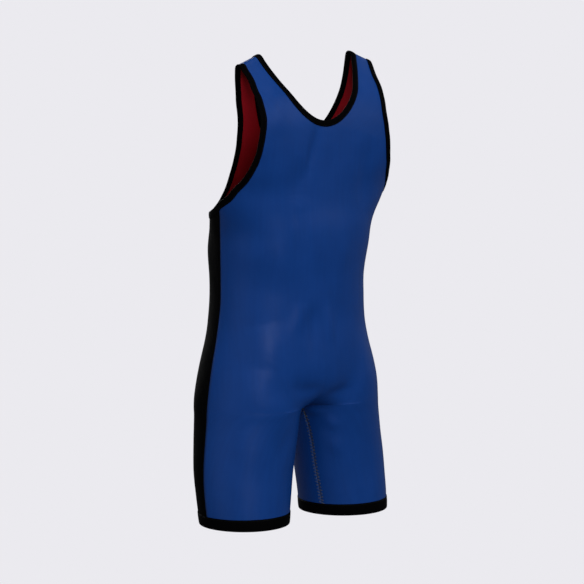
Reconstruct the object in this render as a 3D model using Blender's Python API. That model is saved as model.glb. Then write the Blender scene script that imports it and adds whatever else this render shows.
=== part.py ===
"""A wrestling singlet in the hollow shape that it has when it is worn, with no wearer in it.

Metres, +Z up. The wearer faces -Y and the wearer's left is +X. The origin is the middle of
the shoulder line, level with the neck side of the two straps, where the wearer holds it up.

Every panel is one sheet of the same skin. A place on the skin is (turn, run): turn goes round
from the centre back (0) over the side (90) to the centre front (180), in degrees, and run
goes down the cloth from the shoulder line. Below the fork, turns 0 and 180 meet at the inseam.
"""

import math

import bmesh
import bpy
from mathutils import Vector

# Cloth, seams and bound edges
WALL = 0.0012
SEAM_GAP = 0.0003
TAPE_WALL = 0.001
TAPE_EASE = 0.00035
TAPE_CORNER = 0.0004
TAPE_WIDTH = 0.0098
HEM_BAND_WIDTH = 0.0195

# Cut of the neck, the armholes, the side panels and the legs
NECK_HALF_WIDTH, ARM_HALF_WIDTH, SHOULDER_SLOPE = 0.100, 0.143, 0.40
BACK_NECK_DEPTH, BACK_NECK_BEND = 0.115, 1.15
FRONT_NECK_DEPTH, FRONT_NECK_BEND = 0.170, 1.85
BACK_ARM_END, FRONT_ARM_END = 0.281, 0.3045
LEVEL_START = 0.345
SEAT_START, SEAT_SQUARE, SEAT_SPREAD = 0.500, 3.2, 2.2
FRONT_FORK_START, FRONT_FORK_SQUARE, FRONT_FORK_SPREAD = 0.500, 2.2, 1.7
CROTCH_RUN = 0.6465
HEM_RUN = 0.8500
RUN_PAST_DROP = 0.0265

# The skin's torso sections, from the shoulder line to the crotch
TORSO_COLUMNS = ("run", "drop", "half", "side", "back", "front", "square_back", "square_front", "slope")
TORSO = (
    (0.0000, 0.0000, 0.190, 0.000, 0.0000, 0.0000, 4.00, 4.0, SHOULDER_SLOPE),
    (0.0050, 0.0007, 0.190, 0.000, 0.0048, -0.0040, 4.00, 4.0, 0.39),
    (0.0110, 0.0045, 0.190, 0.000, 0.0092, -0.0070, 4.00, 4.0, 0.36),
    (0.0200, 0.0125, 0.190, -0.001, 0.0135, -0.0085, 4.00, 4.0, 0.30),
    (0.0350, 0.0245, 0.1905, 0.0015, 0.0210, -0.0095, 3.80, 4.0, 0.22),
    (0.0600, 0.0460, 0.1917, 0.0065, 0.0353, -0.0105, 3.65, 4.0, 0.13),
    (0.0900, 0.0720, 0.1930, 0.0095, 0.0528, -0.0130, 3.40, 4.0, 0.07),
    (0.1300, 0.1085, 0.1950, 0.0100, 0.0624, -0.0225, 4.00, 2.8, 0.03),
    (0.1700, 0.1465, 0.1960, 0.0080, 0.0635, -0.0385, 4.50, 2.6, 0.01),
    (0.2100, 0.1850, 0.1920, -0.0005, 0.0627, -0.0605, 3.20, 2.5, 0.00),
    (0.2500, 0.2240, 0.1900, -0.0105, 0.0617, -0.0860, 2.15, 2.4, 0.00),
    (0.2900, 0.2635, 0.1735, -0.0150, 0.0620, -0.1165, 2.05, 2.3, 0.00),
    (0.3300, 0.3035, 0.1555, -0.0370, 0.0655, -0.1440, 2.30, 2.2, 0.00),
    (0.3700, 0.3435, 0.1510, -0.0420, 0.0645, -0.1590, 2.25, 2.2, 0.00),
    (0.4200, 0.3935, 0.1465, -0.048, 0.0615, -0.1560, 2.15, 2.2, 0.00),
    (0.4600, 0.4335, 0.1470, -0.048, 0.0600, -0.1560, 2.15, 2.2, 0.00),
    (0.5000, 0.4735, 0.1505, -0.050, 0.0600, -0.1560, 2.15, 2.2, 0.00),
    (0.5400, 0.5135, 0.1570, -0.049, 0.0640, -0.1570, 2.10, 2.2, 0.00),
    (0.5800, 0.5535, 0.1645, -0.048, 0.0690, -0.1560, 2.10, 2.2, 0.00),
    (0.6200, 0.5935, 0.1715, -0.047, 0.0730, -0.1520, 2.10, 2.2, 0.00),
    (0.6465, 0.6200, 0.1765, -0.045, 0.0710, -0.1480, 2.10, 2.2, 0.00),
)

# The skin's leg sections. Above the crotch they only shape the seat and the fork.
LEG_COLUMNS = ("run", "outer", "middle_y", "depth", "skew", "inseam")
LEG = (
    (0.5000, 0.1700, -0.042, 0.106, 0.080, 80.0),
    (0.6000, 0.1775, -0.042, 0.103, 0.050, 82.0),
    (0.6465, 0.1815, -0.043, 0.100, 0.045, 82.0),
    (0.6650, 0.1840, -0.042, 0.097, 0.045, 75.0),
    (0.7000, 0.1895, -0.040, 0.092, 0.042, 68.0),
    (0.7600, 0.1955, -0.036, 0.085, 0.035, 66.0),
    (0.8100, 0.1940, -0.031, 0.081, 0.015, 65.0),
    (0.8500, 0.1900, -0.028, 0.079, 0.000, 64.0),
)
SKEW_TURN = 104.0
FORK_DEPTH, FORK_HALF_GAP, HEM_HALF_GAP = 0.030, 0.012, 0.0400

# The armhole's two edges. The turns are counted from the centre back and from the centre front.
ARMHOLE_COLUMNS = ("share", "back_turn", "front_turn")
ARMHOLE = (
    (0.00, 39.8, 39.8),
    (0.09, 39.6, 39.4),
    (0.18, 38.9, 38.9),
    (0.27, 39.3, 37.9),
    (0.36, 38.5, 37.3),
    (0.44, 37.3, 37.0),
    (0.53, 37.4, 35.4),
    (0.60, 38.0, 34.3),
    (0.68, 40.3, 33.5),
    (0.76, 45.2, 32.8),
    (0.84, 52.8, 33.0),
    (0.90, 63.0, 35.2),
    (0.955, 73.5, 40.0),
    (1.00, 90.0, 50.0),
)

# The seam between the side panel and the front
SIDE_SEAM_COLUMNS = ("run", "turn")
SIDE_SEAM = (
    (0.3045, 130.0),
    (0.3450, 128.0),
    (0.5000, 127.8),
    (0.5450, 125.5),
    (0.5800, 120.6),
    (0.6100, 114.6),
    (0.6465, 110.6),
    (0.7000, 111.0),
    (0.8500, 113.8),
)

# How finely the panels are divided
COLUMNS, SIDE_COLUMNS = 12, 4
NECK_ROWS, YOKE_ROWS, TORSO_ROWS, SEAT_ROWS, LEG_ROWS = 11, 10, 6, 8, 5
EDGE_SAMPLES = 200

ARM_ROW = NECK_ROWS + YOKE_ROWS
CROTCH_ROW = ARM_ROW + 2 + TORSO_ROWS + SEAT_ROWS

# A panel's columns beside a tape are narrower than the rest, by this share, and widen row by row
EDGE_COLUMN_SHARE, EDGE_COLUMN_GROWTH = 0.5, 0.25
# How far above the armhole's lower end the yoke's rows stop
YOKE_CLEARANCE = 0.005
# The sides of the tape's section that run from the tape's inner edge to the fold
TAPE_INNER_FIRST = (0, 6)

BLUE = (0.012, 0.045, 0.165)
BLACK = (0.004, 0.004, 0.005)
ROUGHNESS = 0.6
SHARP_ANGLE = 50


def read(rows, columns, name, at):
    """The value of one column at a place in the first column, on a smooth curve through the rows."""
    column = columns.index(name)
    places = [row[0] for row in rows]
    values = [row[column] for row in rows]
    last = len(rows) - 1
    at = min(max(at, places[0]), places[last])
    low = max(index for index in range(last) if places[index] <= at)

    def steepness(index):
        before, after = max(index - 1, 0), min(index + 1, last)
        return (values[after] - values[before]) / (places[after] - places[before])

    gap = places[low + 1] - places[low]
    share = (at - places[low]) / gap
    square, cube = share ** 2, share ** 3
    return (
        (2 * cube - 3 * square + 1) * values[low]
        + (cube - 2 * square + share) * gap * steepness(low)
        + (3 * square - 2 * cube) * values[low + 1]
        + (cube - square) * gap * steepness(low + 1)
    )


def torso_point(turn, run):
    """A point of the torso's skin on its rounded section."""
    names = ("half", "side", "slope", "drop")
    half, side, slope, drop = (read(TORSO, TORSO_COLUMNS, name, run) for name in names)
    face = "back" if turn <= 90 else "front"
    depth = read(TORSO, TORSO_COLUMNS, face, run) - side
    square = read(TORSO, TORSO_COLUMNS, "square_" + face, run)
    across, along = math.sin(math.radians(turn)), abs(math.cos(math.radians(turn)))
    reach = (across ** square + along ** square) ** (-1 / square)
    x = half * across * reach
    return Vector((x, side + depth * along * reach, -drop - slope * (x - NECK_HALF_WIDTH)))


def leg_point(turn, run):
    """A point of the left leg's skin. Its sections stand a little oblique on a general thigh.

    Just below the crotch only the part near the inseam draws away to open the fork.
    """
    outer, middle_y, depth, skew, inseam = (read(LEG, LEG_COLUMNS, name, run) for name in LEG_COLUMNS[1:])
    below = min(max((run - CROTCH_RUN) / FORK_DEPTH, 0.0), 1.0)
    down = max(run - CROTCH_RUN, 0.0) / (HEM_RUN - CROTCH_RUN)
    opened = FORK_HALF_GAP * down * down * (3 - 2 * down)
    inner = opened + (HEM_HALF_GAP - FORK_HALF_GAP) * down
    radius = (outer - inner) / (1 + math.sin(math.radians(inseam)))
    if turn <= 90:
        angle = -inseam + turn * (90 + inseam) / 90
    else:
        angle = 90 + (turn - 90) * (270 - inseam) / 90
    at_inseam = math.cos(math.radians(SKEW_TURN - 2 * inseam))
    stretch = 1 + skew * (math.cos(math.radians(SKEW_TURN + 2 * angle)) - at_inseam)
    across = math.sin(math.radians(angle)) * stretch + math.sin(math.radians(inseam))
    along = math.cos(math.radians(angle)) * stretch
    nearness = ((1 - math.sin(math.radians(angle))) / 2) ** 4
    fork = (FORK_HALF_GAP * math.sqrt(1 - (1 - below) ** 2) - opened) * nearness
    return Vector((inner + fork + radius * across, middle_y + depth * along, RUN_PAST_DROP - run))


def skin(turn, run):
    """A point in the middle of the cloth's wall, on the wearer's left."""
    if run <= SEAT_START:
        return torso_point(turn, run)
    leg = leg_point(turn, run)
    if run >= CROTCH_RUN:
        return leg
    across = math.sin(math.radians(turn))
    if turn <= 90:
        start, square, outward = SEAT_START, SEAT_SQUARE, min(across ** 2 * SEAT_SPREAD, 1.0)
    else:
        start, square, outward = FRONT_FORK_START, FRONT_FORK_SQUARE, min(across * FRONT_FORK_SPREAD, 1.0)
    share = max(run - start, 0.0) / (CROTCH_RUN - start)
    round_share = 1 - (1 - share ** square) ** (1 / square)
    even_share = share * share * (3 - 2 * share)
    return torso_point(turn, run).lerp(leg, round_share * (1 - outward) + even_share * outward)


def place_at(face, x, z):
    """The place of the torso's skin that stands at a breadth and a height above the armpits."""
    top, bottom = 0.0, SEAT_START
    for _ in range(40):
        run = (top + bottom) / 2
        drop, slope = (read(TORSO, TORSO_COLUMNS, name, run) for name in ("drop", "slope"))
        if -drop - slope * (x - NECK_HALF_WIDTH) > z:
            top = run
        else:
            bottom = run
    square = read(TORSO, TORSO_COLUMNS, "square_" + face, run)
    share = (x / read(TORSO, TORSO_COLUMNS, "half", run)) ** square
    turn = math.degrees(math.atan((share / (1 - share)) ** (1 / square)))
    return (turn if face == "back" else 180 - turn), run


def mix(place, other, share):
    """The place part of the way from one place to another."""
    return place[0] + (other[0] - place[0]) * share, place[1] + (other[1] - place[1]) * share


def steps(first, last, count):
    """Numbers evenly spaced after the first, up to the last."""
    return [first + (last - first) * (index + 1) / count for index in range(count)]


def neck_edge(face, share):
    """A place on the neck's edge, from the shoulder line (0) to its lowest point (1)."""
    depth, bend = (BACK_NECK_DEPTH, BACK_NECK_BEND) if face == "back" else (FRONT_NECK_DEPTH, FRONT_NECK_BEND)
    angle = math.radians(90 * share)
    return place_at(face, NECK_HALF_WIDTH * math.cos(angle), -depth * math.sin(angle) ** (2 / bend))


def arm_edge(face, share):
    """A place on the armhole's edge, from the shoulder line (0) to the side panel (1)."""
    turn = read(ARMHOLE, ARMHOLE_COLUMNS, face + "_turn", share)
    return (turn, share * BACK_ARM_END) if face == "back" else (180 - turn, share * FRONT_ARM_END)


def beside(edge, face, share, to_side):
    """The place one tape's width in from an edge, square to it, towards the side or the centre."""
    place = edge(face, share)
    by_turn = skin(place[0] + 1, place[1]) - skin(place[0] - 1, place[1])
    by_run = skin(place[0], place[1] + 0.001) - skin(place[0], place[1] - 0.001)
    along = skin(*edge(face, min(share + 0.01, 1.0))) - skin(*edge(face, share - 0.01))
    inward = by_turn.cross(by_run).cross(along).normalized() * TAPE_WIDTH
    if (inward.dot(by_turn) > 0) != (to_side == (face == "back")):
        inward.negate()
    turn_turn, turn_run, run_run = by_turn.dot(by_turn), by_turn.dot(by_run), by_run.dot(by_run)
    area = turn_turn * run_run - turn_run ** 2
    turn_part = (inward.dot(by_turn) * run_run - inward.dot(by_run) * turn_run) / area
    run_part = (inward.dot(by_run) * turn_turn - inward.dot(by_turn) * turn_run) / area
    return place[0] + 2 * turn_part, place[1] + 0.002 * run_part


def even_shares(edge, face, count):
    """The shares that cut an edge into stretches of one length, from 0 to 1."""
    fine = [index / EDGE_SAMPLES for index in range(EDGE_SAMPLES + 1)]
    points = [skin(*edge(face, share)) for share in fine]
    lengths = [0.0]
    for point, following in zip(points, points[1:]):
        lengths.append(lengths[-1] + (following - point).length)
    wanted = [lengths[-1] * index / count for index in range(count)]
    nearest = [min(range(len(fine)), key=lambda at: abs(lengths[at] - length)) for length in wanted]
    return [fine[at] for at in nearest] + [1.0]


def levels():
    """The runs, from below the armholes to the hem, at which every panel has a row."""
    seat_depth, leg_length = CROTCH_RUN - SEAT_START, HEM_RUN - HEM_BAND_WIDTH - CROTCH_RUN
    torso = steps(LEVEL_START, SEAT_START, TORSO_ROWS)
    seat = [SEAT_START + seat_depth * math.sin(math.radians(angle)) for angle in steps(0, 90, SEAT_ROWS)]
    leg = [CROTCH_RUN + leg_length * share ** 2 for share in steps(0, 1, LEG_ROWS)]
    return [LEVEL_START] + torso + seat + leg + [HEM_RUN]


def body_row(inner, inner_next, outer_next, outer):
    """A row whose first and last columns have their own widths."""
    middle = [mix(inner_next, outer_next, share) for share in steps(0, 1, COLUMNS - 2)[:-1]]
    return [inner, inner_next] + middle + [outer_next, outer]


def body_rows(face):
    """The left half of the back or the front panel: rows of places from the shoulder to the hem.

    Each row runs from the neck, the centre line or the inseam out to the armhole or the side seam.
    """
    centre, arm_end = (0.0, BACK_ARM_END) if face == "back" else (180.0, FRONT_ARM_END)
    arms = even_shares(arm_edge, face, ARM_ROW)
    shoulder = (NECK_HALF_WIDTH, NECK_HALF_WIDTH + TAPE_WIDTH, ARM_HALF_WIDTH - TAPE_WIDTH, ARM_HALF_WIDTH)
    turns = [place_at(face, x, SHOULDER_SLOPE * (NECK_HALF_WIDTH - x))[0] for x in shoulder]
    rows = [body_row(*[(turn, 0.0) for turn in turns])]
    necks = even_shares(neck_edge, face, NECK_ROWS)
    for neck, arm in zip(necks[1:-1], arms[1:]):
        rows.append(body_row(neck_edge(face, neck), beside(neck_edge, face, neck, True),
                             beside(arm_edge, face, arm, False), arm_edge(face, arm)))
    neck_run = neck_edge(face, 1)[1]
    column = (90 - centre) / COLUMNS
    below_tape = neck_run + TAPE_WIDTH
    runs = [neck_run, below_tape] + steps(below_tape, arm_end - YOKE_CLEARANCE, YOKE_ROWS - 1)
    for index, (run, arm) in enumerate(zip(runs, arms[NECK_ROWS:])):
        first = column * (EDGE_COLUMN_SHARE + (1 - EDGE_COLUMN_SHARE) * index / YOKE_ROWS)
        rows.append(body_row((centre, run), (centre + first, run),
                             beside(arm_edge, face, arm, False), arm_edge(face, arm)))
    for index, run in enumerate([arm_end + TAPE_WIDTH] + levels()):
        side = 90.0 if face == "back" else seam_turn(run)
        column = (side - centre) / COLUMNS
        last = column * min(EDGE_COLUMN_SHARE + EDGE_COLUMN_GROWTH * index, 1.0)
        rows.append(body_row((centre, run), (centre + column, run), (side - last, run), (side, run)))
    return rows


def seam_turn(run):
    """The turn of the seam between the side panel and the front."""
    return read(SIDE_SEAM, SIDE_SEAM_COLUMNS, "turn", run)


def side_rows():
    """The left side panel: rows of places from the armhole to the hem, from the back to the front."""
    shares = [0.0] + steps(0, 1, SIDE_COLUMNS)
    top_runs = [BACK_ARM_END + (FRONT_ARM_END - BACK_ARM_END) * share * (2 - share) for share in shares]
    rows = []
    for below in (0.0, TAPE_WIDTH):
        width = seam_turn(FRONT_ARM_END + below) - 90
        rows.append([(90 + width * share, run + below) for share, run in zip(shares, top_runs)])
    for run in levels():
        rows.append([(90 + (seam_turn(run) - 90) * share, run) for share in shares])
    return rows


def points_of(rows):
    """The skin's points at rows of places. The centre line's points lie exactly on it."""
    points = [[skin(*place) for place in row] for row in rows]
    for row in points:
        if abs(row[0].x) < 1e-6:
            row[0].x = 0.0
    return points


def key(point):
    """The name under which the panels that meet at a point find the same normal."""
    return tuple(round(value, 5) for value in point)


def skin_normals(grids):
    """The outward normal at each point of the skin, averaged over all the panels that meet there."""
    normals = {}
    for points, outward in grids:
        for row, below in zip(points, points[1:]):
            for index in range(len(row) - 1):
                corners = (row[index], row[index + 1], below[index + 1], below[index])
                normal = (corners[2] - corners[0]).cross(corners[3] - corners[1]) * outward
                for corner in corners:
                    normals[key(corner)] = normals.get(key(corner), Vector()) + normal
    for place, normal in normals.items():
        if place[0] == 0.0:
            normal.x = 0.0
        normal.normalize()
    return normals


def nodes_of(points, normals, seams):
    """Each point with its normal, after those on a seam have moved half the seam's gap away from it."""
    nodes = [[(point, normals[key(point)]) for point in row] for row in points]
    for (row, column), (beside_row, beside_column) in seams:
        point, normal = nodes[row][column]
        towards = (points[beside_row][beside_column] - point).normalized()
        nodes[row][column] = (point + towards * SEAM_GAP / 2, normal)
    return nodes


def shell(nodes, outward_down):
    """A bmesh of a panel's wall. It stays open where its first column lies on the centre line.

    Each square is cut along the diagonal that runs outward and down, or along the other one.
    """
    mesh = bmesh.new()
    outer, inner = (
        [[mesh.verts.new(point + normal * lift) for point, normal in row] for row in nodes]
        for lift in (WALL / 2, -WALL / 2)
    )
    last_row, last_column = len(nodes) - 1, len(nodes[0]) - 1
    for layer in (outer, inner):
        for row, below in zip(layer, layer[1:]):
            for column in range(last_column):
                square = (row[column], row[column + 1], below[column + 1], below[column])
                cuts = ((0, 1, 2), (0, 2, 3)) if outward_down else ((1, 2, 3), (1, 3, 0))
                for cut in cuts:
                    mesh.faces.new([square[corner] for corner in cut])
    rims = [((row, column), (row, column + 1)) for row in (0, last_row) for column in range(last_column)]
    rims += [((row, column), (row + 1, column)) for column in (0, last_column) for row in range(last_row)]
    for (row, column), (next_row, next_column) in rims:
        ends = outer[row][column], outer[next_row][next_column]
        if ends[0].co.x or ends[1].co.x:
            mesh.faces.new((*ends, inner[next_row][next_column], inner[row][column]))
    return mesh


def tape(stations, closed):
    """A bmesh of a tape folded over an edge. A station is a node of the edge and one a width in.

    Its squares are cut along the same diagonals as the panel's squares that it covers.
    """
    mesh = bmesh.new()
    cavity, outside = WALL / 2 + TAPE_EASE, WALL / 2 + TAPE_EASE + TAPE_WALL
    fold = TAPE_EASE + TAPE_WALL
    rings = []
    for (edge, edge_normal), (inner, inner_normal) in stations:
        out = (edge - inner).normalized()
        section = [inner + inner_normal * outside]
        section += [edge + out * ahead + edge_normal * lift for ahead, lift in (
            (TAPE_EASE + TAPE_CORNER, outside), (fold, cavity + TAPE_CORNER),
            (fold, -cavity - TAPE_CORNER), (TAPE_EASE + TAPE_CORNER, -outside))]
        section += [inner - inner_normal * outside, inner - inner_normal * cavity]
        section += [edge + out * TAPE_EASE + edge_normal * lift for lift in (-cavity, cavity)]
        section.append(inner + inner_normal * cavity)
        rings.append([mesh.verts.new(point) for point in section])
    pairs = list(zip(rings, rings[1:])) + ([(rings[-1], rings[0])] if closed else [])
    for ring, following in pairs:
        for index in range(len(ring)):
            after = (index + 1) % len(ring)
            square = (ring[index], ring[after], following[after], following[index])
            cuts = ((0, 1, 2), (0, 2, 3)) if index in TAPE_INNER_FIRST else ((1, 2, 3), (1, 3, 0))
            for cut in cuts:
                mesh.faces.new([square[corner] for corner in cut])
    return mesh


def finish(name, mesh, colour, side=1, both_halves=False):
    """Puts a left piece's bmesh into the scene, or its right one, or both its halves in one."""
    for vertex in mesh.verts:
        vertex.co.x *= side
    bmesh.ops.recalc_face_normals(mesh, faces=mesh.faces)
    data = bpy.data.meshes.new(name)
    mesh.to_mesh(data)
    mesh.free()
    data.shade_smooth()
    data.set_sharp_from_angle(angle=math.radians(SHARP_ANGLE))
    material = bpy.data.materials.new(name)
    material.use_nodes = True
    shader = material.node_tree.nodes["Principled BSDF"]
    shader.inputs["Base Color"].default_value = (*colour, 1.0)
    shader.inputs["Roughness"].default_value = ROUGHNESS
    shader.inputs["Metallic"].default_value = 0.0
    data.materials.append(material)
    piece = bpy.data.objects.new(name, data)
    bpy.context.scene.collection.objects.link(piece)
    if both_halves:
        mirror = piece.modifiers.new("Other half", "MIRROR")
        mirror.merge_threshold = 0.00005


def body_seams():
    """Which points of the back or the front lie on a seam, and towards which point each moves."""
    last_row = CROTCH_ROW + LEG_ROWS + 1
    seams = [((0, column), (1, column)) for column in range(COLUMNS + 1)]
    seams += [((row, COLUMNS), (row, COLUMNS - 1)) for row in range(ARM_ROW, last_row + 1)]
    seams.append(((CROTCH_ROW, 0), (CROTCH_ROW - 1, 0)))
    seams += [((row, 0), (row, 1)) for row in range(CROTCH_ROW + 1, last_row + 1)]
    return seams


def side_seams():
    """Which points of a side panel lie on a seam, and towards which point each moves."""
    rows = range(CROTCH_ROW + LEG_ROWS + 2 - ARM_ROW)
    return [((row, column), (row, beside)) for row in rows
            for column, beside in ((0, 1), (SIDE_COLUMNS, SIDE_COLUMNS - 1))]


def build():
    """Makes every piece of the singlet."""
    for leftover in list(bpy.data.objects):
        bpy.data.objects.remove(leftover)
    grids = [points_of(rows) for rows in (body_rows("back"), body_rows("front"), side_rows())]
    normals = skin_normals(zip(grids, (1, -1, 1)))
    back, front, side = (nodes_of(points, normals, seams)
                         for points, seams in zip(grids, (body_seams(), body_seams(), side_seams())))
    finish("back_panel", shell(back, outward_down=True), BLUE, both_halves=True)
    finish("front_panel", shell(front, outward_down=False), BLUE, both_halves=True)

    neck = [(back[NECK_ROWS][0], back[NECK_ROWS + 1][0])]
    neck += [(back[row][0], back[row][1]) for row in range(NECK_ROWS - 1, -1, -1)]
    neck += [(front[row][0], front[row][1]) for row in range(1, NECK_ROWS)]
    neck += [(front[NECK_ROWS][0], front[NECK_ROWS + 1][0])]
    finish("neck_binding", tape(neck, closed=False), BLACK, both_halves=True)

    armhole = [(row[-1], row[-2]) for row in back[:ARM_ROW + 1]]
    armhole += list(zip(side[0], side[1]))
    armhole += [(row[-1], row[-2]) for row in front[ARM_ROW:0:-1]]
    hem = list(zip(back[-1], back[-2])) + list(zip(side[-1], side[-2]))
    hem += list(zip(front[-1], front[-2]))[:0:-1]
    for word, sign in (("left", 1), ("right", -1)):
        finish(word + "_side_panel", shell(side, outward_down=False), BLACK, sign)
        finish(word + "_armhole_binding", tape(armhole, closed=True), BLACK, sign)
        finish(word + "_leg_band", tape(hem, closed=True), BLACK, sign)


build()
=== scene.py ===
"""The looks of the wrestling singlet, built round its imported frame.

Metres, +Z up. The wearer faces -Y and the wearer's left is +X. Every piece is laid on one
skin, the same as the solids' skin: a place is (turn, run), where turn goes round from the
centre back (0) over the side (90) to the centre front (180), and run goes down the cloth.
"""

import math

import bmesh
import bpy
import numpy as np
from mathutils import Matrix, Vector, noise


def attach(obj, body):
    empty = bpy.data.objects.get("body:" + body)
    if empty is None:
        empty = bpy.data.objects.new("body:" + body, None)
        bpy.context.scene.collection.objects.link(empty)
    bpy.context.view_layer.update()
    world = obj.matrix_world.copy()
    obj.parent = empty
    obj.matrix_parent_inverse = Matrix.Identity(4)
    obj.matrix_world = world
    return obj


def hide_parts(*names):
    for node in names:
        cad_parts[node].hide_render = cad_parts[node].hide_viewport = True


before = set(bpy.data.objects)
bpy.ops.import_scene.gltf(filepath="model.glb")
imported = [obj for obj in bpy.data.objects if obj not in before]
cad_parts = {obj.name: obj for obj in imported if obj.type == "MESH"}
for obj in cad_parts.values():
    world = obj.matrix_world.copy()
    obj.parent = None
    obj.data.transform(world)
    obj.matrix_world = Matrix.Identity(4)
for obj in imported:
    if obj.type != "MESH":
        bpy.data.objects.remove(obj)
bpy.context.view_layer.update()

# ---------------------------------------------------------------- back and front panels
# The two big panels of satin stretch knit, blue outside and red inside. They are cut whole
# from the straps to the hems and sewn to each other at the shoulders and the inseams.

NECK_HALF_WIDTH, SHOULDER_SLOPE = 0.100, 0.40
BACK_NECK_DEPTH, BACK_NECK_BEND = 0.115, 1.15
FRONT_NECK_DEPTH, FRONT_NECK_BEND = 0.170, 1.85
BACK_ARM_END, FRONT_ARM_END = 0.281, 0.3045
SEAT_START, SEAT_SQUARE, SEAT_SPREAD = 0.500, 3.2, 2.2
FRONT_FORK_START, FRONT_FORK_SQUARE, FRONT_FORK_SPREAD = 0.500, 2.2, 1.7
CROTCH_RUN, HEM_RUN = 0.6465, 0.8500
RUN_PAST_DROP = 0.0265
TAPE_WIDTH, HEM_BAND_WIDTH = 0.0098, 0.0195

TORSO_COLUMNS = ("run", "drop", "half", "side", "back", "front", "square_back", "square_front", "slope")
TORSO = (
    (0.0000, 0.0000, 0.190, 0.000, 0.0000, 0.0000, 4.00, 4.0, SHOULDER_SLOPE),
    (0.0050, 0.0007, 0.190, 0.000, 0.0048, -0.0040, 4.00, 4.0, 0.39),
    (0.0110, 0.0045, 0.190, 0.000, 0.0092, -0.0070, 4.00, 4.0, 0.36),
    (0.0200, 0.0125, 0.190, -0.001, 0.0135, -0.0085, 4.00, 4.0, 0.30),
    (0.0350, 0.0245, 0.1905, 0.0015, 0.0210, -0.0095, 3.80, 4.0, 0.22),
    (0.0600, 0.0460, 0.1917, 0.0065, 0.0353, -0.0105, 3.65, 4.0, 0.13),
    (0.0900, 0.0720, 0.1930, 0.0095, 0.0528, -0.0130, 3.40, 4.0, 0.07),
    (0.1300, 0.1085, 0.1950, 0.0100, 0.0624, -0.0225, 4.00, 2.8, 0.03),
    (0.1700, 0.1465, 0.1960, 0.0080, 0.0635, -0.0385, 4.50, 2.6, 0.01),
    (0.2100, 0.1850, 0.1920, -0.0005, 0.0627, -0.0605, 3.20, 2.5, 0.00),
    (0.2500, 0.2240, 0.1900, -0.0105, 0.0617, -0.0860, 2.15, 2.4, 0.00),
    (0.2900, 0.2635, 0.1735, -0.0150, 0.0620, -0.1165, 2.05, 2.3, 0.00),
    (0.3300, 0.3035, 0.1555, -0.0370, 0.0655, -0.1440, 2.30, 2.2, 0.00),
    (0.3700, 0.3435, 0.1510, -0.0420, 0.0645, -0.1590, 2.25, 2.2, 0.00),
    (0.4200, 0.3935, 0.1465, -0.048, 0.0615, -0.1560, 2.15, 2.2, 0.00),
    (0.4600, 0.4335, 0.1470, -0.048, 0.0600, -0.1560, 2.15, 2.2, 0.00),
    (0.5000, 0.4735, 0.1505, -0.050, 0.0600, -0.1560, 2.15, 2.2, 0.00),
    (0.5400, 0.5135, 0.1570, -0.049, 0.0640, -0.1570, 2.10, 2.2, 0.00),
    (0.5800, 0.5535, 0.1645, -0.048, 0.0690, -0.1560, 2.10, 2.2, 0.00),
    (0.6200, 0.5935, 0.1715, -0.047, 0.0730, -0.1520, 2.10, 2.2, 0.00),
    (0.6465, 0.6200, 0.1765, -0.045, 0.0710, -0.1480, 2.10, 2.2, 0.00),
)

LEG_COLUMNS = ("run", "outer", "middle_y", "depth", "skew", "inseam")
LEG = (
    (0.5000, 0.1700, -0.042, 0.106, 0.080, 80.0),
    (0.6000, 0.1775, -0.042, 0.103, 0.050, 82.0),
    (0.6465, 0.1815, -0.043, 0.100, 0.045, 82.0),
    (0.6650, 0.1840, -0.042, 0.097, 0.045, 75.0),
    (0.7000, 0.1895, -0.040, 0.092, 0.042, 68.0),
    (0.7600, 0.1955, -0.036, 0.085, 0.035, 66.0),
    (0.8100, 0.1940, -0.031, 0.081, 0.015, 65.0),
    (0.8500, 0.1900, -0.028, 0.079, 0.000, 64.0),
)
SKEW_TURN = 104.0
FORK_DEPTH, FORK_HALF_GAP, HEM_HALF_GAP = 0.030, 0.012, 0.0400

ARMHOLE_COLUMNS = ("share", "back_turn", "front_turn")
ARMHOLE = (
    (0.00, 39.8, 39.8),
    (0.09, 39.6, 39.4),
    (0.18, 38.9, 38.9),
    (0.27, 39.3, 37.9),
    (0.36, 38.5, 37.3),
    (0.44, 37.3, 37.0),
    (0.53, 37.4, 35.4),
    (0.60, 38.0, 34.3),
    (0.68, 40.3, 33.5),
    (0.76, 45.2, 32.8),
    (0.84, 52.8, 33.0),
    (0.90, 63.0, 35.2),
    (0.955, 73.5, 40.0),
    (1.00, 90.0, 50.0),
)

SIDE_SEAM_COLUMNS = ("run", "turn")
SIDE_SEAM = (
    (0.3045, 130.0),
    (0.3450, 128.0),
    (0.5000, 127.8),
    (0.5450, 125.5),
    (0.5800, 120.6),
    (0.6100, 114.6),
    (0.6465, 110.6),
    (0.7000, 111.0),
    (0.8500, 113.8),
)

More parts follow.
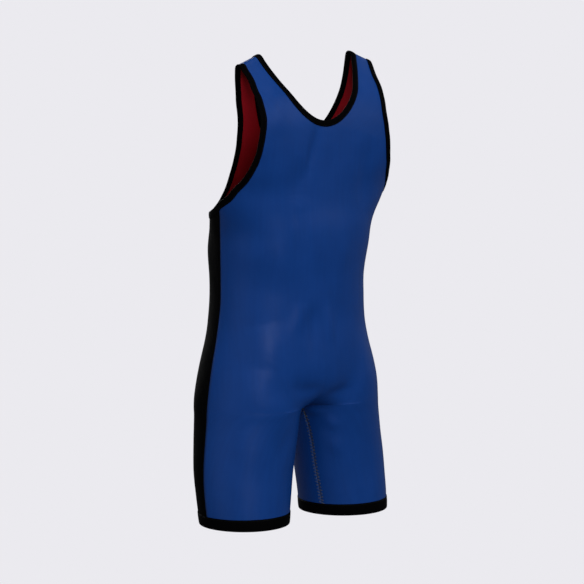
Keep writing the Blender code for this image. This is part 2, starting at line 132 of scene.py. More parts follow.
# Soft troughs (height below zero) and ridges of the cloth, from a first to a last place
CREASE_COLUMNS = ("side", "turn_1", "run_1", "turn_2", "run_2", "turn_3", "run_3", "width", "height")
CREASES = (
    # back: the long groove below the neck, and the fullness beside it
    (1, 5, 0.140, 9, 0.195, 13, 0.250, 0.010, -0.0038),
    (1, 12, 0.210, 17, 0.245, 18, 0.290, 0.024, -0.0040),
    (1, 18, 0.280, 20, 0.330, 18, 0.400, 0.012, -0.0026),
    (1, 28, 0.040, 29, 0.110, 33, 0.170, 0.018, 0.0024),
    (1, 36, 0.340, 34, 0.390, 38, 0.440, 0.020, 0.0022),
    (-1, 28, 0.170, 27, 0.230, 33, 0.300, 0.020, -0.0034),
    (-1, 12, 0.300, 15, 0.380, 12, 0.440, 0.020, 0.0014),
    # back: the seat
    (1, 44, 0.490, 43, 0.530, 48, 0.570, 0.034, 0.0052),
    (1, 34, 0.606, 44, 0.610, 56, 0.604, 0.026, -0.0030),
    (1, 18, 0.455, 21, 0.485, 23, 0.515, 0.012, 0.0034),
    (-1, 1, 0.465, 3, 0.500, 2, 0.535, 0.013, 0.0036),
    (1, 8, 0.460, 11, 0.510, 10, 0.560, 0.010, -0.0028),
    (1, 2, 0.604, 14, 0.612, 30, 0.600, 0.014, -0.0046),
    (-1, 4, 0.618, 16, 0.622, 30, 0.612, 0.012, -0.0044),
    (-1, 1, 0.659, 8, 0.661, 17, 0.659, 0.007, 0.0026),
    # legs
    (-1, 13, 0.668, 17, 0.680, 18, 0.694, 0.010, 0.0026),
    (-1, 14, 0.708, 17, 0.724, 16, 0.744, 0.011, 0.0024),
    (-1, 34, 0.690, 38, 0.740, 36, 0.800, 0.016, -0.0014),
    (1, 62, 0.670, 58, 0.730, 64, 0.800, 0.024, 0.0016),
    (1, 30, 0.670, 32, 0.710, 38, 0.750, 0.014, -0.0022),
    # front: drag lines from the fork, the belly and below the neck
    (1, 172, 0.620, 158, 0.585, 142, 0.560, 0.010, -0.0026),
    (-1, 172, 0.620, 156, 0.580, 138, 0.552, 0.011, -0.0024),
    (1, 170, 0.600, 164, 0.560, 160, 0.520, 0.012, 0.0016),
    (-1, 168, 0.604, 163, 0.566, 161, 0.530, 0.012, 0.0015),
    (1, 176, 0.230, 172, 0.290, 175, 0.360, 0.018, -0.0022),
    (-1, 160, 0.300, 156, 0.370, 160, 0.430, 0.024, 0.0016),
    (1, 158, 0.380, 154, 0.440, 158, 0.500, 0.022, -0.0015),
    (1, 150, 0.665, 146, 0.710, 150, 0.760, 0.016, -0.0016),
    (-1, 148, 0.670, 150, 0.715, 146, 0.770, 0.016, -0.0014),
    # sides
    (1, 100, 0.330, 104, 0.380, 98, 0.430, 0.016, -0.0012),
    (-1, 96, 0.340, 102, 0.390, 100, 0.440, 0.016, -0.0012),
    (1, 104, 0.600, 100, 0.640, 106, 0.690, 0.018, 0.0012),
    (-1, 102, 0.610, 106, 0.650, 100, 0.700, 0.018, 0.0012),
)
CREASE_SAMPLES = 22
UNEVEN_SIZE, UNEVEN_HEIGHT = 0.055, 0.0007

NECK_ROWS, YOKE_ROWS, TORSO_ROWS, SEAT_ROWS, LEG_ROWS, COLUMNS = 44, 38, 50, 40, 46, 46
CLOTH_WALL, SAME_PLACE = 0.0009, 0.00001


def read(rows, columns, name, at):
    """The values of one column at places in the first column, on a smooth curve through the rows."""
    places = np.array([row[0] for row in rows])
    values = np.array([row[columns.index(name)] for row in rows])
    index = np.arange(len(rows))
    before, after = np.maximum(index - 1, 0), np.minimum(index + 1, len(rows) - 1)
    steepness = (values[after] - values[before]) / (places[after] - places[before])
    at = np.clip(at, places[0], places[-1])
    low = np.clip(np.searchsorted(places, at, side="right") - 1, 0, len(rows) - 2)
    gap = places[low + 1] - places[low]
    share = (at - places[low]) / gap
    square, cube = share ** 2, share ** 3
    return (
        (2 * cube - 3 * square + 1) * values[low]
        + (cube - 2 * square + share) * gap * steepness[low]
        + (3 * square - 2 * cube) * values[low + 1]
        + (cube - square) * gap * steepness[low + 1]
    )


def torso_points(turn, run):
    """Points of the torso's skin on its rounded sections."""
    names = ("half", "side", "slope", "drop")
    half, side, slope, drop = (read(TORSO, TORSO_COLUMNS, name, run) for name in names)
    back, front, square_back, square_front = (
        read(TORSO, TORSO_COLUMNS, name, run) for name in ("back", "front", "square_back", "square_front"))
    at_back = turn <= 90
    depth = np.where(at_back, back, front) - side
    square = np.where(at_back, square_back, square_front)
    across, along = np.abs(np.sin(np.radians(turn))), np.abs(np.cos(np.radians(turn)))
    reach = (across ** square + along ** square) ** (-1 / square)
    x = half * across * reach
    return np.stack([x, side + depth * along * reach, -drop - slope * (x - NECK_HALF_WIDTH)], axis=-1)


def leg_points(turn, run):
    """Points of the left leg's skin."""
    outer, middle_y, depth, skew, inseam = (read(LEG, LEG_COLUMNS, name, run) for name in LEG_COLUMNS[1:])
    below = np.clip((run - CROTCH_RUN) / FORK_DEPTH, 0.0, 1.0)
    down = np.maximum(run - CROTCH_RUN, 0.0) / (HEM_RUN - CROTCH_RUN)
    opened = FORK_HALF_GAP * down * down * (3 - 2 * down)
    inner = opened + (HEM_HALF_GAP - FORK_HALF_GAP) * down
    radius = (outer - inner) / (1 + np.sin(np.radians(inseam)))
    angle = np.where(turn <= 90, -inseam + turn * (90 + inseam) / 90, 90 + (turn - 90) * (270 - inseam) / 90)
    at_inseam = np.cos(np.radians(SKEW_TURN - 2 * inseam))
    stretch = 1 + skew * (np.cos(np.radians(SKEW_TURN + 2 * angle)) - at_inseam)
    across = np.sin(np.radians(angle)) * stretch + np.sin(np.radians(inseam))
    along = np.cos(np.radians(angle)) * stretch
    nearness = ((1 - np.sin(np.radians(angle))) / 2) ** 4
    fork = (FORK_HALF_GAP * np.sqrt(1 - (1 - below) ** 2) - opened) * nearness
    return np.stack([inner + fork + radius * across, middle_y + depth * along, RUN_PAST_DROP - run], axis=-1)


def skin(turn, run):
    """Points in the middle of the cloth's wall, on the wearer's left."""
    turn, run = np.broadcast_arrays(np.asarray(turn, float), np.asarray(run, float))
    across, at_back = np.sin(np.radians(turn)), turn <= 90
    start = np.where(at_back, SEAT_START, FRONT_FORK_START)
    square = np.where(at_back, SEAT_SQUARE, FRONT_FORK_SQUARE)
    spread = np.where(at_back, across ** 2 * SEAT_SPREAD, across * FRONT_FORK_SPREAD)
    outward = np.minimum(spread, 1.0)
    share = np.clip((run - start) / (CROTCH_RUN - start), 0.0, 1.0)
    round_share = 1 - (1 - share ** square) ** (1 / square)
    even_share = share * share * (3 - 2 * share)
    leg_share = (round_share * (1 - outward) + even_share * outward)[..., None]
    return torso_points(turn, run) * (1 - leg_share) + leg_points(turn, run) * leg_share


def place_at(face, x, z):
    """The places of the torso's skin that stand at a breadth and a height above the armpits."""
    top, bottom = np.zeros_like(x), np.full_like(x, SEAT_START)
    for _ in range(40):
        run = (top + bottom) / 2
        drop, slope = (read(TORSO, TORSO_COLUMNS, name, run) for name in ("drop", "slope"))
        too_high = -drop - slope * (x - NECK_HALF_WIDTH) > z
        top, bottom = np.where(too_high, run, top), np.where(too_high, bottom, run)
    square = read(TORSO, TORSO_COLUMNS, "square_" + face, run)
    share = (x / read(TORSO, TORSO_COLUMNS, "half", run)) ** square
    turn = np.degrees(np.arctan((share / (1 - share)) ** (1 / square)))
    return (turn if face == "back" else 180 - turn), run


def neck_edge(face, share):
    """Places on the neck's edge, from the shoulder line (0) to its lowest point (1)."""
    depth, bend = (BACK_NECK_DEPTH, BACK_NECK_BEND) if face == "back" else (FRONT_NECK_DEPTH, FRONT_NECK_BEND)
    angle = np.radians(90 * share)
    breadth = NECK_HALF_WIDTH * np.maximum(np.cos(angle), 0)
    return place_at(face, breadth, -depth * np.sin(angle) ** (2 / bend))


def arm_edge(face, share):
    """Places on the armhole's edge, from the shoulder line (0) to the side panel (1)."""
    turn = read(ARMHOLE, ARMHOLE_COLUMNS, face + "_turn", share)
    return (turn, share * BACK_ARM_END) if face == "back" else (180 - turn, share * FRONT_ARM_END)


def seam_turn(run):
    """The turn of the seam between the side panel and the front."""
    return read(SIDE_SEAM, SIDE_SEAM_COLUMNS, "turn", run)


def even_shares(edge, face, count):
    """The shares that cut an edge into stretches of one length, from 0 to 1."""
    fine = np.linspace(0, 1, 400)
    points = skin(*edge(face, fine))
    lengths = np.concatenate([[0], np.cumsum(np.linalg.norm(np.diff(points, axis=0), axis=1))])
    return np.interp(np.linspace(0, lengths[-1], count + 1), lengths, fine)


def outward(turn, run):
    """The skin's outward directions on the wearer's left."""
    turn, run = np.broadcast_arrays(np.asarray(turn, float), np.asarray(run, float))
    by_turn = skin(np.minimum(turn + 0.4, 180), run) - skin(np.maximum(turn - 0.4, 0), run)
    by_run = skin(turn, np.minimum(run + 0.0008, HEM_RUN)) - skin(turn, np.maximum(run - 0.0008, 0))
    normal = np.cross(by_turn, by_run)
    normal /= np.maximum(np.linalg.norm(normal, axis=-1, keepdims=True), 1e-12)
    on_centre = np.abs(skin(turn, run)[..., 0]) < 1e-6
    normal[..., 0] = np.where(on_centre, 0, normal[..., 0])
    return normal


def crease_heights(points):
    """How far the creases and the cloth's unevenness move points outward."""
    flat = points.reshape(-1, 3)
    heights = np.zeros(len(flat))
    share = np.linspace(0, 1, CREASE_SAMPLES)
    weights = np.stack([2 * (share - 0.5) * (share - 1), 4 * share * (1 - share), 2 * share * (share - 0.5)])
    for crease in CREASES:
        side, width, height = crease[0], crease[-2], crease[-1]
        turn = np.array(crease[1:7:2]) @ weights
        run = np.array(crease[2:8:2]) @ weights
        line = skin(turn, run) * (side, 1, 1)
        near = np.all((flat > line.min(axis=0) - 3 * width) & (flat < line.max(axis=0) + 3 * width), axis=1)
        distance = np.linalg.norm(flat[near][:, None] - line[None], axis=2)
        closest = distance.argmin(axis=1)
        fade = np.sin(np.pi * (0.06 + 0.88 * share[closest])) ** 1.2
        heights[near] += height * fade * np.exp(-((distance.min(axis=1) / width) ** 2))
    for index, point in enumerate(flat):
        heights[index] += UNEVEN_HEIGHT * noise.noise(Vector(point / UNEVEN_SIZE))
    return heights.reshape(points.shape[:-1])


def cloth(side, turn, run, lift=0.0):
    """Points of the creased cloth on the left (1) or the right (-1), raised by a lift, with their normals."""
    sign = np.array((side, 1, 1))
    points, normals = skin(turn, run) * sign, outward(turn, run) * sign
    return points + normals * (crease_heights(points) + lift)[..., None], normals


def body_chart(face):
    """The turns and runs over the left half of the back or the front, a row for each level."""
    centre, arm_end = (0.0, BACK_ARM_END) if face == "back" else (180.0, FRONT_ARM_END)
    neck_turn, neck_run = neck_edge(face, even_shares(neck_edge, face, NECK_ROWS))
    arm_turn, arm_run = arm_edge(face, even_shares(arm_edge, face, NECK_ROWS + YOKE_ROWS))
    yoke = np.linspace(neck_run[-1], arm_end, YOKE_ROWS + 1)[1:]
    torso = np.linspace(arm_end, SEAT_START, TORSO_ROWS + 1)[1:]
    seat = SEAT_START + (CROTCH_RUN - SEAT_START) * np.sin(np.radians(np.linspace(0, 90, SEAT_ROWS + 1)[1:]))
    leg = CROTCH_RUN + (HEM_RUN - CROTCH_RUN) * np.linspace(0, 1, LEG_ROWS + 1)[1:] ** 1.6
    levels = np.concatenate([torso, seat, leg])
    inner_run = np.concatenate([neck_run, yoke, levels])
    inner_turn = np.concatenate([neck_turn, np.full(len(inner_run) - len(neck_turn), centre)])
    side_turn = np.full(len(levels), 90.0) if face == "back" else seam_turn(levels)
    outer_run = np.concatenate([arm_run, levels])
    outer_turn = np.concatenate([arm_turn, side_turn])
    share = np.linspace(0, 1, COLUMNS + 1)
    return (inner_turn[:, None] + (outer_turn - inner_turn)[:, None] * share,
            inner_run[:, None] + (outer_run - inner_run)[:, None] * share)


def add_grid(mesh, points, uv, flip):
    """Adds a grid of points to a bmesh: a plain grid, shaped by moving its points. UVs are in metres."""
    rows, columns = points.shape[:2]
    made = bmesh.ops.create_grid(mesh, x_segments=columns - 1, y_segments=rows - 1, size=1)["verts"]
    layer = mesh.loops.layers.uv.verify()
    places = {}
    for vertex in made:
        column = round((vertex.co.x + 1) / 2 * (columns - 1))
        row = round((1 - vertex.co.y) / 2 * (rows - 1))
        places[vertex] = (row, column)
    for vertex, place in places.items():
        vertex.co = points[place]
    faces = {face for vertex in made for face in vertex.link_faces}
    for face in faces:
        for loop in face.loops:
            loop[layer].uv = uv[places[loop.vert]]
    if flip:
        bmesh.ops.reverse_faces(mesh, faces=list(faces))


def flat_places(points, run):
    """Where points of a grid lie on the flat cloth, in metres: across from the first column, and down."""
    steps = np.linalg.norm(np.diff(points, axis=1), axis=2)
    across = np.concatenate([np.zeros((len(points), 1)), np.cumsum(steps, axis=1)], axis=1)
    return np.stack([across, -run], axis=-1)


def finish_piece(name, mesh, materials, *nodes):
    """Puts a bmesh into the scene as a piece that stands for CAD nodes."""
    data = bpy.data.meshes.new(name)
    mesh.to_mesh(data)
    mesh.free()
    data.shade_smooth()
    piece = bpy.data.objects.new(name, data)
    bpy.context.scene.collection.objects.link(piece)
    for material in materials:
        data.materials.append(material)
    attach(piece, "root")
    if nodes:
        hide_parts(*nodes)
    return piece


def give_wall(piece, thickness):
    """A cloth's thickness, with the second material on its inside."""
    wall = piece.modifiers.new("Wall", "SOLIDIFY")
    wall.thickness = thickness
    wall.offset = 0
    wall.material_offset = len(piece.data.materials) - 1


def knit(name, colour, roughness, specular, mottle, sheen, bump):
    """A stretch knit: fine loops as bump, faint bars of tone along the wales, soft satin gloss."""
    material = bpy.data.materials.new(name)
    material.use_nodes = True
    nodes, links = material.node_tree.nodes, material.node_tree.links
    shader = nodes["Principled BSDF"]
    shader.inputs["Metallic"].default_value = 0.0
    shader.inputs["Specular IOR Level"].default_value = specular
    shader.inputs["Sheen Weight"].default_value = sheen
    shader.inputs["Sheen Roughness"].default_value = 0.45
    shader.inputs["Sheen Tint"].default_value = (*[min(1.0, 4 * part + 0.25) for part in colour], 1.0)
    place = nodes.new("ShaderNodeUVMap")
    stretch = nodes.new("ShaderNodeMapping")
    stretch.inputs["Scale"].default_value = (1.0, 0.08, 1.0)
    links.new(place.outputs["UV"], stretch.inputs["Vector"])
    bars = nodes.new("ShaderNodeTexNoise")
    bars.inputs["Scale"].default_value = 160.0
    bars.inputs["Detail"].default_value = 2.0
    links.new(stretch.outputs["Vector"], bars.inputs["Vector"])
    around = nodes.new("ShaderNodeTexCoord")
    clouds = nodes.new("ShaderNodeTexNoise")
    clouds.inputs["Scale"].default_value = 22.0
    clouds.inputs["Detail"].default_value = 3.0
    links.new(around.outputs["Object"], clouds.inputs["Vector"])
    both = nodes.new("ShaderNodeMath")
    both.operation = "MULTIPLY_ADD"
    both.inputs[1].default_value = 0.45
    links.new(bars.outputs["Fac"], both.inputs[0])
    scaled = nodes.new("ShaderNodeMath")
    scaled.operation = "MULTIPLY"
    scaled.inputs[1].default_value = 0.55
    links.new(clouds.outputs["Fac"], scaled.inputs[0])
    links.new(scaled.outputs["Value"], both.inputs[2])
    tone = nodes.new("ShaderNodeValToRGB")
    tone.color_ramp.elements[0].position = 0.36
    tone.color_ramp.elements[0].color = (*[part * (1 - mottle) for part in colour], 1.0)
    tone.color_ramp.elements[1].position = 0.64
    tone.color_ramp.elements[1].color = (*[part * (1 + mottle) for part in colour], 1.0)
    links.new(both.outputs["Value"], tone.inputs["Fac"])
    links.new(tone.outputs["Color"], shader.inputs["Base Color"])
    gloss = nodes.new("ShaderNodeMapRange")
    gloss.inputs["To Min"].default_value = roughness - 0.05
    gloss.inputs["To Max"].default_value = roughness + 0.05
    links.new(clouds.outputs["Fac"], gloss.inputs["Value"])
    links.new(gloss.outputs["Result"], shader.inputs["Roughness"])
    loops = nodes.new("ShaderNodeTexWave")
    loops.wave_type = "BANDS"
    loops.bands_direction = "DIAGONAL"
    loops.inputs["Scale"].default_value = 260.0
    loops.inputs["Distortion"].default_value = 1.5
    loops.inputs["Detail Scale"].default_value = 2.0
    links.new(place.outputs["UV"], loops.inputs["Vector"])
    raised = nodes.new("ShaderNodeBump")
    raised.inputs["Strength"].default_value = bump
    raised.inputs["Distance"].default_value = 0.0003
    links.new(loops.outputs["Fac"], raised.inputs["Height"])
    links.new(raised.outputs["Normal"], shader.inputs["Normal"])
    return material


blue_knit = knit("blue_knit", (0.0048, 0.0510, 0.2620), 0.42, 0.15, 0.05, 0.0, 0.25)
red_knit = knit("red_knit", (0.3600, 0.0085, 0.0170), 0.60, 0.08, 0.05, 0.0, 0.25)
black_knit = knit("black_knit", (0.0009, 0.0009, 0.0012), 0.60, 0.02, 0.15, 0.0, 0.20)


def body_panel(face):
    """The back or the front: two halves that are one cloth from the neck to the fork."""
    mesh = bmesh.new()
    turn, run = body_chart(face)
    for side in (1, -1):
        points = cloth(side, turn, run)[0]
        add_grid(mesh, points, flat_places(points, run) * (side, 1), (side == 1) == (face == "back"))
    centre = [vertex for vertex in mesh.verts if abs(vertex.co.x) < 2e-6]
    bmesh.ops.remove_doubles(mesh, verts=centre, dist=SAME_PLACE)
    piece = finish_piece(face, mesh, (blue_knit, red_knit), face + "_panel")
    give_wall(piece, CLOTH_WALL)
    return piece


back = body_panel("back")
front = body_panel("front")

# ---------------------------------------------------------------- side panels
# A black strip of the same knit down each side, from the armhole to the leg band, sewn
# between the back and the front.

SIDE_ROWS, SIDE_COLUMNS = 128, 20
side_share = np.linspace(0, 1, SIDE_COLUMNS + 1)
top_run = BACK_ARM_END + (FRONT_ARM_END - BACK_ARM_END) * side_share * (2 - side_share)
down_share = np.linspace(0, 1, SIDE_ROWS + 1)[:, None]
side_run = top_run + (HEM_RUN - top_run) * down_share
side_turn = 90 + (seam_turn(np.maximum(side_run, FRONT_ARM_END)) - 90) * side_share
for word, side in (("left", 1), ("right", -1)):
    mesh = bmesh.new()
    points = cloth(side, side_turn, side_run)[0]
    add_grid(mesh, points, flat_places(points, side_run), side == 1)
    strip = finish_piece(word + "_side", mesh, (black_knit,), word + "_side_panel")
    give_wall(strip, CLOTH_WALL)

# ---------------------------------------------------------------- bindings and leg bands
# Black tape folded over the neck, the armholes and the hems, with a coverstitch near its
# inner edge. A tape's section is a U round the cloth's edge.

TAPE_THICKNESS, TAPE_STEPS, FOLD_STEPS = 0.0009, 6, 5
STITCH_INSET = 0.0022
TAPE_EASE, TAPE_PUFF, TAPE_TUCK = 0.0001, 0.0003, 0.0002
NECK_STEPS, ARM_STEPS, HEM_STEPS, MOVE_ROUNDS = 90, 96, 60, 3
TURN_STEP, RUN_STEP = 0.5, 0.001
BACK_BELOW_TURN, FRONT_ABOVE_TURN = 89, 131
black_tape = knit("black_tape", (0.0009, 0.0009, 0.0011), 0.60, 0.02, 0.12, 0.0, 0.35)


def step_in(turn, run, width, closed):
    """The move in turn and run from each place of an edge that goes a width into the cloth."""
    more_turn, less_turn = np.minimum(turn + TURN_STEP, 180), np.maximum(turn - TURN_STEP, 0)
    more_run, less_run = np.minimum(run + RUN_STEP, HEM_RUN), np.maximum(run - RUN_STEP, 0)
    by_turn = (skin(more_turn, run) - skin(less_turn, run)) / (more_turn - less_turn)[:, None]
    by_run = (skin(turn, more_run) - skin(turn, less_run)) / (more_run - less_run)[:, None]
    edge = skin(turn, run)
    if closed:
        along = np.roll(edge, -1, axis=0) - np.roll(edge, 1, axis=0)
    else:
        along = np.gradient(edge, axis=0)
    inward = np.cross(np.cross(by_turn, by_run), along)
    inward /= np.linalg.norm(inward, axis=1, keepdims=True)
    turn_turn, turn_run, run_run = (
        (one * other).sum(axis=1) for one, other in ((by_turn, by_turn), (by_turn, by_run), (by_run, by_run)))
    in_turn, in_run = (inward * by_turn).sum(axis=1), (inward * by_run).sum(axis=1)
    area = turn_turn * run_run - turn_run ** 2
    turn_part = (in_turn * run_run - in_run * turn_run) / area
    run_part = (in_run * turn_turn - in_turn * turn_run) / area
    return turn_part * width, run_part * width


def smooth_closed(values, rounds):
    """Evens out a run of numbers round a closed tape."""
    for _ in range(rounds):
        values = (np.roll(values, 1) + 2 * values + np.roll(values, -1)) / 4
    return values


def tape_rings(side, turn, run, moves, width):
    """A tape's section round each place of an edge, and the line of its coverstitch."""
    turn_move, run_move = moves
    layer_shares = np.linspace(1, 0, TAPE_STEPS + 1)
    outside = CLOTH_WALL / 2 + TAPE_THICKNESS + TAPE_EASE
    inside = CLOTH_WALL / 2 + TAPE_EASE
    layers = []
    for share in layer_shares:
        points, normals = cloth(side, turn + turn_move * share, np.minimum(run + run_move * share, HEM_RUN))
        puff = TAPE_PUFF * math.sin(math.pi * min(1.0, share * width / (width - STITCH_INSET)))
        tuck = TAPE_TUCK if share == 1 else 0.0
        layers.append((points, normals, puff - tuck))
    edge, edge_normal = layers[-1][0], layers[-1][1]
    out = edge - layers[-2][0]
    out /= np.linalg.norm(out, axis=1, keepdims=True)
    rings = [points + normals * (outside + extra) for points, normals, extra in layers]
    for angle in np.radians(np.linspace(0, 180, FOLD_STEPS + 2)[1:-1]):
        rings.append(edge + edge_normal * (outside * math.cos(angle)) + out * (outside * math.sin(angle)))
    rings += [points - normals * (outside + extra) for points, normals, extra in layers[::-1]]
    rings += [points - normals * inside for points, normals, extra in layers]
    rings += [points + normals * inside for points, normals, extra in layers[::-1]]
    stitch_share = 1 - STITCH_INSET / width
    stitch, stitch_normal = cloth(side, turn + turn_move * stitch_share, run + run_move * stitch_share)
    return np.stack(rings, axis=1), (stitch + stitch_normal * (outside + TAPE_EASE), stitch_normal)


def add_tape(mesh, rings):
    """Adds a closed tape to a bmesh from its sections: a grid rolled up along its length."""
    rings = np.concatenate([rings, rings[:1]])
    rolled = np.concatenate([rings, rings[:, :1]], axis=1)
    along = np.concatenate([[0], np.cumsum(np.linalg.norm(np.diff(rolled[:, 0], axis=0), axis=1))])
    uv = flat_places(rolled, np.repeat(along[:, None], rolled.shape[1], axis=1))
    add_grid(mesh, rolled, uv, False)
    bmesh.ops.remove_doubles(mesh, verts=mesh.verts, dist=SAME_PLACE)
    bmesh.ops.recalc_face_normals(mesh, faces=mesh.faces)


def edge_places(edge, face, count):
    """Evenly spaced places along an edge."""
    return edge(face, even_shares(edge, face, count))


seam_lines = []

# the neck: up the back's left edge, down the front's, and the same on the right
back_neck, front_neck = (edge_places(neck_edge, face, NECK_STEPS) for face in ("back", "front"))
halves = []
for turn, run in (back_neck, front_neck):
    halves.append((turn, run, *step_in(turn, run, TAPE_WIDTH, False)))
for half, sign in zip(halves, (1, -1)):
    half[2][-1] = 0.0
    flip = np.where(half[2] * sign < -1e-9, -1.0, 1.0)
    half[2][:] *= flip
    half[3][:] *= flip
    half[3][-1] = TAPE_WIDTH
neck_rings, neck_stitch, neck_stitch_normal = [], [], []
for side, order in ((1, (0, 1)), (-1, (1, 0))):
    for which in order:
        turn, run, turn_move, run_move = halves[which]
        downward = (which == 1) == (side == 1)
        rings, (stitch, normal) = tape_rings(side, turn, run, (turn_move, run_move), TAPE_WIDTH)
        if not downward:
            rings, stitch, normal = rings[::-1], stitch[::-1], normal[::-1]
        neck_rings.append(rings[:-1])
        neck_stitch.append(stitch[:-1])
        neck_stitch_normal.append(normal[:-1])
mesh = bmesh.new()
add_tape(mesh, np.concatenate(neck_rings))
neck_tape = finish_piece("neck_tape", mesh, (black_tape,), "neck_binding")
seam_lines.append(("neck", np.concatenate(neck_stitch), np.concatenate(neck_stitch_normal), True))

# the armholes: down the back, across the side panel and up the front
back_arm, front_arm = (edge_places(arm_edge, face, ARM_STEPS) for face in ("back", "front"))
side_top = (90 + (seam_turn(FRONT_ARM_END) - 90) * side_share, top_run)
arm_turn = np.concatenate([back_arm[0], side_top[0][1:-1], front_arm[0][::-1][:-1]])
arm_run = np.concatenate([back_arm[1], side_top[1][1:-1], front_arm[1][::-1][:-1]])
arm_moves = step_in(arm_turn, arm_run, TAPE_WIDTH, True)
toward_body = np.where(arm_moves[1] < 0, -1.0, 1.0)
for word, side in (("left", 1), ("right", -1)):
    turn_move, run_move = arm_moves
    on_back = arm_turn < BACK_BELOW_TURN
    on_front = arm_turn > FRONT_ABOVE_TURN
    sign = np.where(on_back, np.where(turn_move > 0, -1.0, 1.0), 1.0)
    sign = np.where(on_front, np.where(turn_move < 0, -1.0, 1.0), sign)
    sign = np.where(~on_back & ~on_front, toward_body, sign)
    moves = [smooth_closed(move * sign, MOVE_ROUNDS) for move in (turn_move, run_move)]
    rings, (stitch, normal) = tape_rings(side, arm_turn, arm_run, moves, TAPE_WIDTH)
    mesh = bmesh.new()
    add_tape(mesh, rings)
    finish_piece(word + "_armhole_tape", mesh, (black_tape,), word + "_armhole_binding")
    seam_lines.append((word + "_armhole", stitch, normal, True))

# the leg bands: round each hem
hem_turn = np.concatenate([np.linspace(0, 90, HEM_STEPS), np.linspace(90, 180, HEM_STEPS)[1:-1]])
for word, side in (("left", 1), ("right", -1)):
    flat_run = np.full_like(hem_turn, HEM_RUN)
    moves = (np.zeros_like(hem_turn), np.full_like(hem_turn, -HEM_BAND_WIDTH))
    rings, (stitch, normal) = tape_rings(side, hem_turn, flat_run, moves, HEM_BAND_WIDTH)
    mesh = bmesh.new()
    add_tape(mesh, rings)
    finish_piece(word + "_hem_band", mesh, (black_tape,), word + "_leg_band")
    seam_lines.append((word + "_hem", stitch, normal, True))

# ---------------------------------------------------------------- sewing
# Polyester thread: a coverstitch on each tape and band, a flatlock row down each side seam, a
# short seam on each shoulder, and a light zigzag along the inseams, from hem to hem.

STITCH_LENGTH, STITCH_WIDTH, STITCH_HEIGHT, STITCH_PITCH = 0.0023, 0.0004, 0.0003, 0.0031
ZIGZAG_WIDTH, ZIGZAG_PITCH, ZIGZAG_THREAD = 0.0115, 0.0062, 0.0007
SEAM_INSET = 0.0016


def thread(name, colour):
    """A twisted thread: fine slanting ridges, a soft gloss, and painted shade that is darker in the twist's
    grooves and lighter on its ridges.
    """
    material = bpy.data.materials.new(name)
    material.use_nodes = True
    nodes, links = material.node_tree.nodes, material.node_tree.links
    shader = nodes["Principled BSDF"]
    shader.inputs["Roughness"].default_value = 0.55
    shader.inputs["Specular IOR Level"].default_value = 0.2
    around = nodes.new("ShaderNodeTexCoord")
    twist = nodes.new("ShaderNodeTexWave")
    twist.bands_direction = "DIAGONAL"
    twist.inputs["Scale"].default_value = 900.0
    twist.inputs["Distortion"].default_value = 0.8
    links.new(around.outputs["Object"], twist.inputs["Vector"])
    # painted shade and light: the twist that raises the bump also sets the tone, darker in its grooves and
    # lighter on its ridges
    tone = nodes.new("ShaderNodeValToRGB")
    tone.color_ramp.elements[0].color = (*[part * 0.75 for part in colour], 1.0)
    tone.color_ramp.elements[1].color = (*[part * 1.25 for part in colour], 1.0)
    links.new(twist.outputs["Fac"], tone.inputs["Fac"])
    links.new(tone.outputs["Color"], shader.inputs["Base Color"])
    raised = nodes.new("ShaderNodeBump")
    raised.inputs["Strength"].default_value = 0.3
    raised.inputs["Distance"].default_value = 0.0001
    links.new(twist.outputs["Fac"], raised.inputs["Height"])
    links.new(raised.outputs["Normal"], shader.inputs["Normal"])
    return material


black_thread = thread("black_thread", (0.0045, 0.0045, 0.0055))
blue_thread = thread("blue_thread", (0.010, 0.060, 0.260))
light_thread = thread("light_thread", (0.170, 0.170, 0.130))


mesh = bmesh.new()
bmesh.ops.create_uvsphere(mesh, u_segments=6, v_segments=4, radius=0.5)
bead = bpy.data.meshes.new("bead")
mesh.to_mesh(bead)
mesh.free()
bead_points = np.array([vertex.co[:] for vertex in bead.vertices])


def add_stitch(mesh, start, end, normal, width, height):
    """One stitch: a small round bead drawn out between the two holes of its thread."""
    along = end - start
    across = np.cross(normal, along)
    across *= width / np.linalg.norm(across)
    up = np.cross(along, across)
    up *= height / np.linalg.norm(up)
    bead.vertices.foreach_set("co", (bead_points @ np.stack([across, up, along]) + (start + end) / 2).ravel())
    mesh.from_mesh(bead)


def add_row(mesh, points, normals, closed):
    """A row of stitches along a line."""
    if closed:
        points, normals = np.concatenate([points, points[:1]]), np.concatenate([normals, normals[:1]])
    along = np.concatenate([[0], np.cumsum(np.linalg.norm(np.diff(points, axis=0), axis=1))])
    starts = np.linspace(0, along[-1], round(along[-1] / STITCH_PITCH) + 1)[:-1]
    first, last, up = (
        np.stack([np.interp(places, along, values[:, axis]) for axis in range(3)], axis=1)
        for places, values in ((starts, points), (starts + STITCH_LENGTH, points), (starts, normals)))
    for start, end, normal in zip(first, last, up):
        add_stitch(mesh, start, end, normal, STITCH_WIDTH, STITCH_HEIGHT)


for name, points, normals, closed in seam_lines:
    mesh = bmesh.new()
    add_row(mesh, points, normals, closed)
    finish_piece(name + "_coverstitch", mesh, (black_thread,))

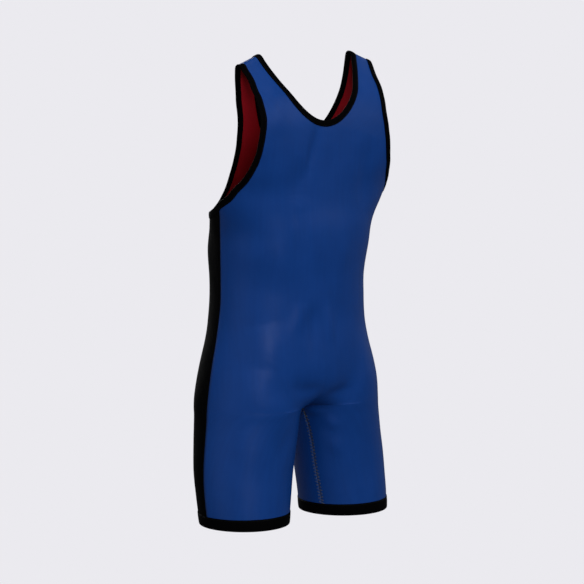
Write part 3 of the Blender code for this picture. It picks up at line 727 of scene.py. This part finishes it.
seam_lift = CLOTH_WALL / 2 + STITCH_HEIGHT / 3
for word, side in (("left", 1), ("right", -1)):
    mesh = bmesh.new()
    for seam, towards in ((0, 1), (1, -1)):
        run = np.linspace(BACK_ARM_END if seam == 0 else FRONT_ARM_END, HEM_RUN, 140) + TAPE_WIDTH
        run = run[run < HEM_RUN - HEM_BAND_WIDTH]
        turn = np.full_like(run, 90.0) if seam == 0 else seam_turn(run)
        a_degree = np.linalg.norm(skin(turn + 1, run) - skin(turn, run), axis=1)
        add_row(mesh, *cloth(side, turn + towards * SEAM_INSET / a_degree, run, seam_lift), False)
    finish_piece(word + "_side_flatlock", mesh, (black_thread,))

    mesh = bmesh.new()
    for face in ("back", "front"):
        neck_turn, arm_turn_top = neck_edge(face, np.array(0.0))[0], arm_edge(face, np.array(0.0))[0]
        turn = neck_turn + (arm_turn_top - neck_turn) * np.linspace(0.25, 0.75, 24)
        add_row(mesh, *cloth(side, turn, np.full_like(turn, SEAM_INSET), seam_lift), False)
    finish_piece(word + "_shoulder_seam", mesh, (blue_thread,))

    mesh = bmesh.new()
    count = round((HEM_RUN - HEM_BAND_WIDTH - CROTCH_RUN) / ZIGZAG_PITCH)
    run = np.linspace(CROTCH_RUN + 0.001, HEM_RUN - HEM_BAND_WIDTH, 2 * count + 1)
    half = ZIGZAG_WIDTH / 2
    back_turn = half / np.linalg.norm(skin(1.0, run) - skin(0.0, run), axis=1)
    front_turn = 180 - half / np.linalg.norm(skin(180.0, run) - skin(179.0, run), axis=1)
    on_back = np.arange(len(run)) % 2 == 0
    lift = CLOTH_WALL / 2 + ZIGZAG_THREAD / 3
    corners, normals = cloth(side, np.where(on_back, back_turn, front_turn), run, lift)
    for start, end, normal in zip(corners, corners[1:], normals):
        add_stitch(mesh, start, end, normal, ZIGZAG_THREAD, ZIGZAG_THREAD)
    finish_piece(word + "_inseam_zigzag", mesh, (light_thread,))
bpy.data.meshes.remove(bead)

# ---------------------------------------------------------------- camera, light and floor
# A long lens a little above the shoulders, from behind and to the wearer's left. Two soft lights
# behind, a large one above, weaker ones at the sides, one in front, and a plain pale surround.

CAMERA_AZIMUTH, CAMERA_DISTANCE, CAMERA_HEIGHT = 38.0, 4.9, 0.24
AIM = Vector((0.0165, -0.0129, -0.4203))
FOCAL_PIXELS, IMAGE_PIXELS, SENSOR = 2805.0, 584.0, 36.0

camera_data = bpy.data.cameras.new("Camera")
camera_data.sensor_width = SENSOR
camera_data.lens = SENSOR * FOCAL_PIXELS / IMAGE_PIXELS
camera = bpy.data.objects.new("Camera", camera_data)
azimuth = math.radians(CAMERA_AZIMUTH)
camera.location = (CAMERA_DISTANCE * math.sin(azimuth), CAMERA_DISTANCE * math.cos(azimuth), CAMERA_HEIGHT)
camera.rotation_euler = (AIM - camera.location).to_track_quat("-Z", "Y").to_euler()
bpy.context.scene.collection.objects.link(camera)
bpy.context.scene.camera = camera


def add_light(name, azimuth, elevation, distance, size, power):
    """A soft square light that faces the garment. Azimuth 0 is behind the wearer, 90 at the left."""
    data = bpy.data.lights.new(name, "AREA")
    data.size = size
    data.energy = power
    light = bpy.data.objects.new(name, data)
    turned, raised = math.radians(azimuth), math.radians(elevation)
    level = math.cos(raised)
    direction = Vector((math.sin(turned) * level, math.cos(turned) * level, math.sin(raised)))
    light.location = AIM + direction * distance
    light.rotation_euler = direction.to_track_quat("Z", "Y").to_euler()
    bpy.context.scene.collection.objects.link(light)


add_light("Key", 26, 18, 4.0, 1.3, 46.0)
add_light("Second", -32, 23, 3.5, 1.3, 18.0)
add_light("Above", 35, 68, 4.0, 3.6, 60.0)
add_light("Left", 85, 0, 4.5, 3.6, 22.0)
add_light("Right", -95, 20, 3.5, 2.0, 10.0)
add_light("Front", 190, 20, 3.8, 2.2, 55.0)

bpy.context.scene.view_settings.view_transform = "Standard"
world = bpy.data.worlds.new("Room")
bpy.context.scene.world = world
world.use_nodes = True
world.node_tree.nodes["Background"].inputs["Color"].default_value = (0.95, 0.96, 1.0, 1.0)
world.node_tree.nodes["Background"].inputs["Strength"].default_value = 0.13

PALE = (0.831, 0.823, 0.863)
FLOOR_HEIGHT, FLOOR_RADIUS = -1.35, 14.0
pale = bpy.data.materials.new("pale_floor")
pale.use_nodes = True
pale_shader = pale.node_tree.nodes["Principled BSDF"]
pale_shader.inputs["Base Color"].default_value = (0.0, 0.0, 0.0, 1.0)
pale_shader.inputs["Roughness"].default_value = 1.0
pale_shader.inputs["Specular IOR Level"].default_value = 0.0
pale_shader.inputs["Emission Color"].default_value = (*PALE, 1.0)
pale_shader.inputs["Emission Strength"].default_value = 1.0
mesh = bmesh.new()
bmesh.ops.create_icosphere(mesh, subdivisions=4, radius=FLOOR_RADIUS)
for vertex in mesh.verts:
    vertex.co.z = max(vertex.co.z, FLOOR_HEIGHT)
data = bpy.data.meshes.new("floor")
mesh.to_mesh(data)
mesh.free()
data.materials.append(pale)
floor = bpy.data.objects.new("floor", data)
floor.visible_diffuse = False
floor.visible_glossy = False
floor.visible_shadow = False
bpy.context.scene.collection.objects.link(floor)
